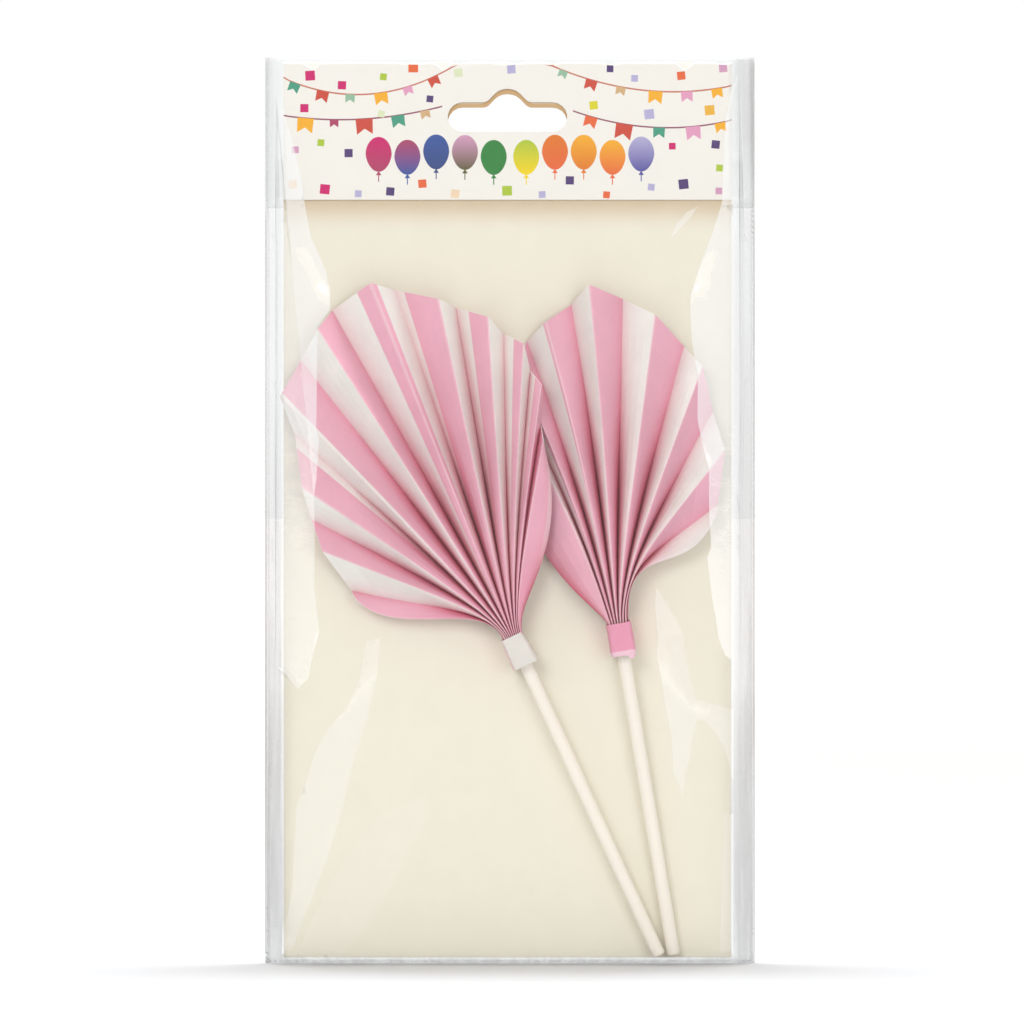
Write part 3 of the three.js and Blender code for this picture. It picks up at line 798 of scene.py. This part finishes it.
def header_card():
    """One printed sheet folded over the board's top edge."""
    top = HEADER_TOP - 0.15
    corners = [(-HEADER_Y, HEADER_BOTTOM), (-HEADER_Y, top), (HEADER_Y, top), (HEADER_Y, HEADER_BOTTOM)]
    path = rounded_path(corners, 0.62)
    total = path_length(path)
    front_slot = [(x, z - HEADER_BOTTOM) for x, z in slot_outline(HEADER_SLOT)]
    back_slot = [(x, total - v) for x, v in front_slot][::-1]
    prints = []
    half = CARD_WIDTH / 2 - 0.02
    for mark in header_prints():
        outline = []
        for x, z in mark["outline"]:
            outline.append((min(half, max(-half, x)), min(HEADER_TOP - 0.9, z) - HEADER_BOTTOM))
        prints.append({**mark, "outline": outline})
    fold = total / 2
    vs = steps(0, fold - 2, 5) + steps(fold - 2, fold + 2, 0.25)[1:] + steps(fold + 2, total, 5)[1:]
    xs = steps(-CARD_WIDTH / 2, CARD_WIDTH / 2, 5)
    flat, faces, inks = cut_sheet(xs, vs, [front_slot, back_slot], prints)
    points = [(x, *along(path, v)) for x, v in flat]
    colours = []
    for face, mark in zip(faces, inks):
        if mark is None:
            colours.append(HEADER_WHITE)
            continue
        low, high = box_of(mark["outline"])[2:]
        shades = []
        for i in face:
            t = min(1.0, max(0.0, (flat[i][1] - low) / (high - low)))
            shades.append(tuple(mix(a, b, t) for a, b in zip(mark["bottom"], mark["top"])))
        colours.append(shades)
    obj = make("card_header", points, faces, "pack", [HEADER, CORE], colours, ["header_card"])
    thicken(obj, HEADER_THICKNESS, rim=1)


# Toppers

P, W = PINK, WHITE
LEFT = {
    "name": "left", "body": "topper_left", "tilt": math.radians(-24.56), "length": 94.0, "lift": 1.2,
    "band": (3.55, 2.95),
    "base": (1.33, -144.73), "ridge": 0, "start": (9.5, 4.5, 4.5), "focus": (0.0, 3.2), "flare": 1.0,
    "folds": [
        (-51.6, 43.6), (-50.3, 44.4), (-41.7, 55.2), (-35.6, 61.9), (-30.5, 68.3), (-22.9, 78.8),
        (-19.7, 88.7), (-13.1, 92.4), (-7.9, 96.3), (-4.5, 99.0), (2.6, 100.9), (5.8, 97.1),
        (12.2, 91.4), (14.7, 88.7),
        (20.2, 84.7), (22.9, 80.2), (26.8, 77.4), (28.4, 70.4), (31.2, 66.9), (32.2, 56.5), (33.6, 52.2),
        (34.8, 49.4)],
    "left_edge": [(-2.5, 13.0), (-31.0, 11.5)], "right_edge": [(5.0, 9.0), (23.0, 14.0)],
    "stripes": [
        [P], [W], [P], [W], [P, 0.75, W], [W], [W, 0.1, P], [W], [P], [W, 0.65, P], [P, 0.25, W], [W, 0.2, P],
        [W], [W, 0.4, P], [W], [W, 0.5, P], [W], [W, 0.45, P], [P], [P], [P, 0.8, PALE]],
}
RIGHT = {
    "name": "right", "body": "topper_right", "tilt": math.radians(-9.53), "length": 90.1, "lift": 0.0,
    "band": (3.25, 3.1),
    "base": (29.48, -141.37), "ridge": 1, "start": (8.0, 8.0, 19.5), "focus": (1.8, 9.0), "flare": 1.6,
    "folds": [
        (-22.4, 50.0), (-17.1, 58.9), (-14.9, 65.2), (-12.2, 72.8), (-8.4, 79.0), (-4.1, 82.2), (1.2, 85.7),
        (4.5, 90.1), (10.4, 86.2), (16.3, 82.5), (23.0, 75.6), (27.7, 71.8), (33.7, 61.7), (41.2, 54.0),
        (49.7, 41.3), (51.4, 39.4)],
    "left_edge": [(-6.3, 6.9), (-23.0, 20.6)], "right_edge": [(5.4, 23.5), (20.5, 6.0)],
    "stripes": [
        [P], [W], [W, 0.7, P], [P], [W, 0.88, P], [P], [W], [P], [W], [P], [W], [P], [W], [P], [W]],
}
# Painted shade in the pleat valleys, and the share of a pleat taken by the painted crest highlight
VALLEY_SHADE = (0.8, 0.17, 0.27)
CREST_HIGHLIGHT_SHARE = 0.07
TORN_BIT = 1.5
TORN_X = 2.0
TORN_HALF = 1.3
PLEAT_BOW = 0.35
RIM_BEND = 1.2
NECK_BEND = 3.2
SHARED_LEFT = 2.5
SHARED_RIGHT = 11.5
FAN_ROWS = 30
FOCUS_SHARE = 0.42


def tip_of(fold):
    angle, length = math.radians(fold[0]), fold[1]
    return math.sin(angle) * length, math.cos(angle) * length


def bend_height(fan, index):
    """How far a fold runs up along the stick before it bends out."""
    first, middle, end = fan["start"]
    across = 2 * index / (len(fan["folds"]) - 1) - 1
    return mix(middle, first if across < 0 else end, across ** 2)


def fold_controls(fan, index):
    last = len(fan["folds"]) - 1
    tip = tip_of(fan["folds"][index])
    base = ((index / last - 0.5) * NECK_WIDTH, 0.0)
    fx, fz = fan["focus"]
    controls = [(base[0] * fan["flare"], bend_height(fan, index)),
                (fx + (tip[0] - fx) * FOCUS_SHARE, fz + (tip[1] - fz) * FOCUS_SHARE)]
    if index == 0:
        controls = fan["left_edge"]
    if index == last:
        controls = fan["right_edge"]
    return [base, *controls, tip]


def to_pack(fan, point, depth):
    """A point of the topper's own plane, placed in the pack."""
    c, s = math.cos(fan["tilt"]), math.sin(fan["tilt"])
    x, z = point
    return fan["base"][0] + x * c + z * s, depth, fan["base"][1] - x * s + z * c


def shared(fan, x):
    if fan is LEFT:
        return smooth(x, SHARED_LEFT - 9, SHARED_LEFT - 0.35)
    return 1 - smooth(x, SHARED_RIGHT + 0.35, SHARED_RIGHT + 9)


def fold_depths(fan, row, spread):
    """Depth of each fold of one row: ridges in front, valleys behind, both inside the pouch."""
    travel = FREE_PLAY if fan is LEFT else 2 * FREE_PLAY
    last = len(row) - 1
    result = []
    for i, point in enumerate(row):
        near = [math.dist(point, row[j]) for j in (i - 1, i + 1) if 0 <= j <= last]
        spacing = sum(near) / len(near)
        depth = math.sqrt(max(PLEAT ** 2 - spacing ** 2, (LEAST_PLEAT_SHARE * PLEAT) ** 2))
        depth = min(depth, mix(NECK_DEPTH, PLEAT, smooth(point[1], 0, WRAP_LENGTH)))
        x, _, z = to_pack(fan, point, 0)
        apart = shared(fan, x) * smooth(point[1], 2, 2 * WRAP_LENGTH) if spread else 0.0
        half = PLEAT / 2 - 0.35
        middle = FAN_MIDDLE + (-1 if fan is LEFT else 1) * apart * (PLEAT - half) / 2
        depth = mix(depth, min(depth, half), apart)
        limit = 0.6 - min(film_height(x, z), film_height(x, z + travel))
        front = max(middle - depth / 2, limit)
        back = max(min(middle + depth / 2, FAN_BACK - 0.1), front + 0.9)
        back = mix(front, back, mix(NECK_OPEN, 1.0, smooth(point[1], 6, 42)))
        if i in (0, last):
            result.append((front + back) / 2)
        else:
            result.append(front if i % 2 == fan["ridge"] else back)
    return result


def neck_share(reach):
    """1 where the pleats lie close together at the neck, 0 towards the rim."""
    return 1 - smooth(reach, 6, 58)


def pleat_painted_light(tint, reach, valley, lit):
    """Painted light on a pleat: pink bounce light near the neck, stronger on the shaded side, painted rosy
    shade in the valleys and a painted highlight on the crests.
    """
    near = neck_share(reach)
    # Painted bounce light, painted valley shade deepest near the neck, and a painted crest highlight
    painted_bounce = near * (0.6 if lit else 0.85)
    depth = valley ** 4 * mix(0.3, 1.0, near)
    crest = 0.5 * smooth(CREST_HIGHLIGHT_SHARE - valley, 0, CREST_HIGHLIGHT_SHARE)
    made = []
    for channel, pink, deep, light in zip(tint, BOUNCE_PINK_LIT if lit else BOUNCE_PINK_SHADED, VALLEY_SHADE, CREST_HIGHLIGHT):
        value = mix(channel, pink, painted_bounce)
        made.append(mix(mix(value, value * deep, depth), light, crest))
    return tuple(made)


def pleat_place(pair, share, rising, reach, bow):
    """A point part way across a pleat, whose sides curl in towards its crest, least at the rim."""
    a, b = (Vector(end) for end in pair)
    place = a.lerp(b, share)
    ridge, valley, way = (b, a, 1 - share) if rising else (a, b, share)
    place.y = mix(ridge.y, valley.y, way ** mix(RIM_BEND, NECK_BEND, neck_share(reach)))
    place.y += bow
    return tuple(place)


def fan_piece(fan):
    """The pleated sheet: one strip of faces between each two folds, split where its stripes change."""
    controls = [fold_controls(fan, i) for i in range(len(fan["folds"]))]
    rows = [[(c[0][0], -WRAP_LENGTH + 0.3) for c in controls]]
    rows += [[bezier(c, i / FAN_ROWS) for c in controls] for i in range(FAN_ROWS + 1)]
    seed = 3.0 if fan is LEFT else 8.0
    grid = []
    for number, row in enumerate(rows):
        depths = fold_depths(fan, row, number > 0)
        grid.append([to_pack(fan, point, depth) for point, depth in zip(row, depths)])
    last_row = len(grid) - 1
    points, faces, colours = [], [], []
    fold_at = {}
    for r, row in enumerate(grid):
        for k, place in enumerate(row):
            fold_at[r, k] = len(points)
            points.append(place)
    reach = [row[len(row) // 2][1] for row in rows]
    for k, stripe in enumerate(fan["stripes"]):
        marks = stripe[1::2]
        tints = stripe[0::2]
        rising = k % 2 != fan["ridge"]
        # A column of points where the painted crest highlight ends
        crest = 1 - CREST_HIGHLIGHT_SHARE if rising else CREST_HIGHLIGHT_SHARE
        extra = [s for s in (crest, 1 - crest, 0.25, 0.5, 0.75) if all(abs(s - m) > 0.04 for m in marks)]
        shares = sorted({0.0, 1.0, *marks, *extra})
        columns = []
        for share in shares:
            if share in (0.0, 1.0):
                columns.append([fold_at[r, k + int(share)] for r in range(len(grid))])
                continue
            column = []
            for r, row in enumerate(grid):
                t = r / len(grid)
                bow = PLEAT_BOW * wave(seed + k * 3.7, t * 2.5, 0.5)
                bow *= math.sin(math.pi * share) * smooth(t, 0.25, 0.7)
                column.append(len(points))
                points.append(pleat_place((row[k], row[k + 1]), share, rising, reach[r], bow))
            columns.append(column)
        for left, right, low, high in zip(columns, columns[1:], shares, shares[1:]):
            middle = (low + high) / 2
            tint = tints[sum(middle > m for m in marks)]
            deep = [share if not rising else 1 - share for share in (low, high)]
            for r in range(last_row):
                faces.append((left[r], right[r], right[r + 1], left[r + 1]))
                spots = ((r, deep[0]), (r, deep[1]), (r + 1, deep[1]), (r + 1, deep[0]))
                # Each corner: the stripe's print with painted light for its place on the pleat
                colours.append([pleat_painted_light(tint, reach[i], valley, rising) for i, valley in spots])
    obj = make(f"leaf_{fan['name']}", points, faces, fan["body"], [FAN_PAPER, CORE], colours,
               [f"fan_{fan['name']}"])
    thicken(obj, PAPER, rim=1)


def wrap_piece(fan):
    """A strip of paper wound once round the neck, its end lapped over at the back."""
    turns = 56
    rings = 8
    points, faces, colours = [], [], []
    for r in range(rings + 1):
        z = mix(-WRAP_LENGTH, 0.0, r / rings)
        x_half = mix(*fan["band"], r / rings)
        shift = fan["band"][0] - x_half if fan is LEFT else 0.0
        for i in range(turns + 1):
            a = math.pi / 2 + WRAP_WINDING * i / turns
            c, s = math.cos(a), math.sin(a)
            grow = 1 + WRAP_LAP * i / turns
            x = x_half * grow * math.copysign(abs(c) ** WRAP_SQUARENESS, c)
            y = WRAP_HALF_DEPTH * grow * math.copysign(abs(s) ** WRAP_SQUARENESS, s)
            slip = 0.18 * math.sin(a + 0.6) if r in (0, rings) else 0.0
            if r == 0 and fan is RIGHT and y < 0:
                slip -= TORN_BIT * max(0.0, 1 - abs(x - TORN_X) / TORN_HALF)
            bulge = 0.06 * wave(i * 0.3, z * 0.4, fan["lift"])
            points.append(to_pack(fan, (x * (1 + bulge) - shift * 0.5, z + slip), FAN_MIDDLE + y))
    for r in range(rings):
        for i in range(turns):
            a = r * (turns + 1) + i
            faces.append((a, a + 1, a + turns + 2, a + turns + 1))
            angle = (math.pi / 2 + WRAP_WINDING * (i + 0.5) / turns) % (2 * math.pi)
            left_side = math.pi * 0.85 < angle < math.pi * 1.17
            if fan is LEFT:
                colours.append(PINK if left_side else BAND_WHITE)
            else:
                colours.append(BAND_RIM if r == 0 else BAND_PINK)
    obj = make(f"band_{fan['name']}", points, faces, fan["body"], [WRAP_PAPER, CORE], colours,
               [f"wrap_{fan['name']}"])
    thicken(obj, WRAP_PAPER_THICKNESS, rim=1)


def stick_piece(fan):
    """A round stick with softened ends, leaning back from the neck to its free end."""
    end_y = -0.6 - fan["lift"] - STICK_RADIUS
    lean = math.asin((end_y - FAN_MIDDLE) / fan["length"])
    sides = 40
    stations = [(-fan["length"], 0.0), (-fan["length"], 0.86), (-fan["length"] + 0.12, 0.96),
                (-fan["length"] + 0.35, 1.0)]
    stations += [(z, 1.0) for z in steps(-fan["length"] + 4, STICK_TOP - 0.4, 4)]
    stations += [(STICK_TOP, 0.93), (STICK_TOP, 0.0)]
    points, faces = [], []
    for z, share in stations:
        for i in range(sides):
            a = 2 * math.pi * i / sides
            radius = STICK_RADIUS * share * (1 + 0.006 * wave(i * 0.5, z * 0.2, 1.0))
            x, y = radius * math.cos(a), radius * math.sin(a)
            tipped_y = y * math.cos(lean) - z * math.sin(lean)
            tipped_z = y * math.sin(lean) + z * math.cos(lean)
            points.append(to_pack(fan, (x, tipped_z), FAN_MIDDLE + tipped_y))
    for r in range(len(stations) - 1):
        for i in range(sides):
            a, b = r * sides + i, r * sides + (i + 1) % sides
            if r == 0:
                faces.append((a, b + sides, a + sides))
            elif r == len(stations) - 2:
                faces.append((a, b, b + sides))
            else:
                faces.append((a, b, b + sides, a + sides))
    obj = make(f"rod_{fan['name']}", points, faces, fan["body"], [STICK_PAPER], None,
               [f"stick_{fan['name']}"])
    weld = obj.modifiers.new("weld", "WELD")
    weld.merge_threshold = 0.00001
    smooth_shade(obj)


# Stage

FLOOR_COLOUR = (0.59, 0.6, 0.615)
FLOOR_GLOW_NEAR = 0.15
FLOOR_GLOW_FAR = 0.74
FLOOR_NEAR = 0.2
FLOOR_FAR = 1.5
FLOOR_SIZE = 60.0
SKY_LEVEL = 0.62
SKY_TONE = (1.06, 0.965, 0.87)
LAMP_TONE = (0.965, 1.02, 1.085)
MIDDLE = (0.0, 0.0, -0.112)
CAMERA_DISTANCE = 0.9
CAMERA_X = 1.2
CAMERA_Z = -112.0
SENSOR = 36.0
IMAGE_PIXELS = 1024
PIXEL = 0.268


def shown_ray(tree):
    """1 for rays that show the background: straight from the camera, mirrored or passed through."""
    path = node(tree, "ShaderNodeLightPath")
    seen = math_node(tree, "MAXIMUM", path.outputs["Is Camera Ray"], path.outputs["Is Glossy Ray"])
    return math_node(tree, "MAXIMUM", seen, path.outputs["Is Transmission Ray"])


def stage_material():
    """White floor that keeps the object's shadow."""
    material, tree, output = new_material("stage_white")
    diffuse = node(tree, "ShaderNodeBsdfDiffuse", Color=(*FLOOR_COLOUR, 1.0))
    away = node(tree, "ShaderNodeVectorMath", operation="LENGTH")
    feed(tree, away.inputs[0], object_place(tree))
    level = map_range(tree, away.outputs["Value"], FLOOR_NEAR, FLOOR_FAR, FLOOR_GLOW_NEAR, FLOOR_GLOW_FAR)
    power = math_node(tree, "MULTIPLY", shown_ray(tree), level)
    glow = node(tree, "ShaderNodeEmission", Color=(1.0, 1.0, 1.0, 1.0), Strength=power)
    both = node(tree, "ShaderNodeAddShader")
    feed_all(tree, both.inputs, (diffuse.outputs[0], glow.outputs[0]))
    feed(tree, output.inputs["Surface"], both.outputs[0])
    return material


def stage():
    mesh = bpy.data.meshes.new("floor")
    low = (POUCH_BOTTOM - 0.1) * MM
    corners = [(-FLOOR_SIZE, -FLOOR_SIZE, low), (FLOOR_SIZE, -FLOOR_SIZE, low),
               (FLOOR_SIZE, FLOOR_SIZE, low), (-FLOOR_SIZE, FLOOR_SIZE, low)]
    mesh.from_pydata(corners, [], [(0, 1, 2, 3)])
    mesh.materials.append(stage_material())
    floor = bpy.data.objects.new("floor", mesh)
    bpy.context.scene.collection.objects.link(floor)
    return floor


def sky():
    """White where it is seen, and a plain level where it lights."""
    world = bpy.data.worlds.new("white")
    bpy.context.scene.world = world
    world.use_nodes = True
    tree = world.node_tree
    tree.nodes.clear()
    shown = shown_ray(tree)
    level = map_range(tree, shown, low=SKY_LEVEL)
    tone = mix_colours(tree, shown, (*SKY_TONE, 1.0), (1.0, 1.0, 1.0, 1.0))
    background = node(tree, "ShaderNodeBackground", Strength=level, Color=tone)
    feed(tree, node(tree, "ShaderNodeOutputWorld").inputs["Surface"], background.outputs[0])


def lamp(name, place, target, size, power):
    """A soft rectangular lamp that isn't seen itself."""
    light = bpy.data.lights.new(name, "AREA")
    light.shape = "RECTANGLE"
    light.size, light.size_y = size
    light.energy = power
    light.color = LAMP_TONE
    obj = bpy.data.objects.new(name, light)
    obj.location = place
    aim = Vector(target) - Vector(place)
    obj.rotation_euler = aim.to_track_quat("-Z", "Y").to_euler()
    bpy.context.scene.collection.objects.link(obj)
    obj.visible_camera = False
    obj.visible_glossy = False
    return obj


def leave_dark(light, piece):
    """The light doesn't reach that piece, where its pool would be too bright."""
    unlit = bpy.data.collections.new("unlit")
    unlit.objects.link(piece)
    unlit.collection_objects[0].light_linking.link_state = "EXCLUDE"
    light.light_linking.receiver_collection = unlit


def lights(floor):
    lamp("key", (-0.45, -1.25, 0.35), MIDDLE, (0.5, 0.5), 5.1)
    lamp("fill", (0.5, -1.25, 0.0), MIDDLE, (0.6, 0.6), 3.6)
    lamp("overhead", (0.0, 0.06, 0.75), (0.0, 0.06, 0.0), (0.5, 0.12), 7.5)
    rear = lamp("rear", (0.4, 1.3, -0.06), MIDDLE, (0.6, 0.6), 4.0)
    leave_dark(rear, floor)


def camera():
    data = bpy.data.cameras.new("camera")
    obj = bpy.data.objects.new("camera", data)
    data.sensor_width = SENSOR
    data.lens = SENSOR * CAMERA_DISTANCE / (IMAGE_PIXELS * PIXEL * MM)
    obj.location = (CAMERA_X * MM, -CAMERA_DISTANCE, CAMERA_Z * MM)
    obj.rotation_euler = (math.pi / 2, 0, 0)
    bpy.context.scene.collection.objects.link(obj)
    bpy.context.scene.camera = obj


FILM = film_material("clear_film")
FILM_REAR = film_material("clear_film_rear", haze=0.02, gloss=0.08)
BOARD = paper_material("cream_board", None, 0.8, fibre=0.35, mottle=0.03)
BOARD_EDGE = paper_material("board_edge", KRAFT_AND_SLOT_SHADE, 0.9, fibre=0.8, mottle=0.15)
HEADER = paper_material("printed_card", None, 0.55, fibre=0.2, mottle=0.02)
CORE = paper_material("paper_edge", linear(250, 247, 243), 0.9, fibre=0.4, mottle=0.04)
# Striped fan paper; its shade colour paints rosy shade into its narrow places
FAN_PAPER = paper_material("striped_paper", None, 0.85, fibre=0.8, mottle=0.07, glow=0.1,
                           shade=(0.97, 0.55, 0.66))
WRAP_PAPER = paper_material("wrap_paper", None, 0.85, fibre=0.8, mottle=0.07)
STICK_PAPER = paper_material("rolled_paper", STICK_CREAM, 0.8, fibre=0.4, mottle=0.02, grain=(3, 3, 0.4))
ADHESIVE = strip_material("adhesive_strip")

camera()
floor = stage()
sky()
lights(floor)
backing_card()
header_card()
for topper in (LEFT, RIGHT):
    fan_piece(topper)
    wrap_piece(topper)
    stick_piece(topper)
film_front()
film_back()
film_flap()
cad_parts["flap_adhesive"].material_slots[0].material = ADHESIVE

scene = bpy.context.scene
scene.view_settings.view_transform = "Standard"
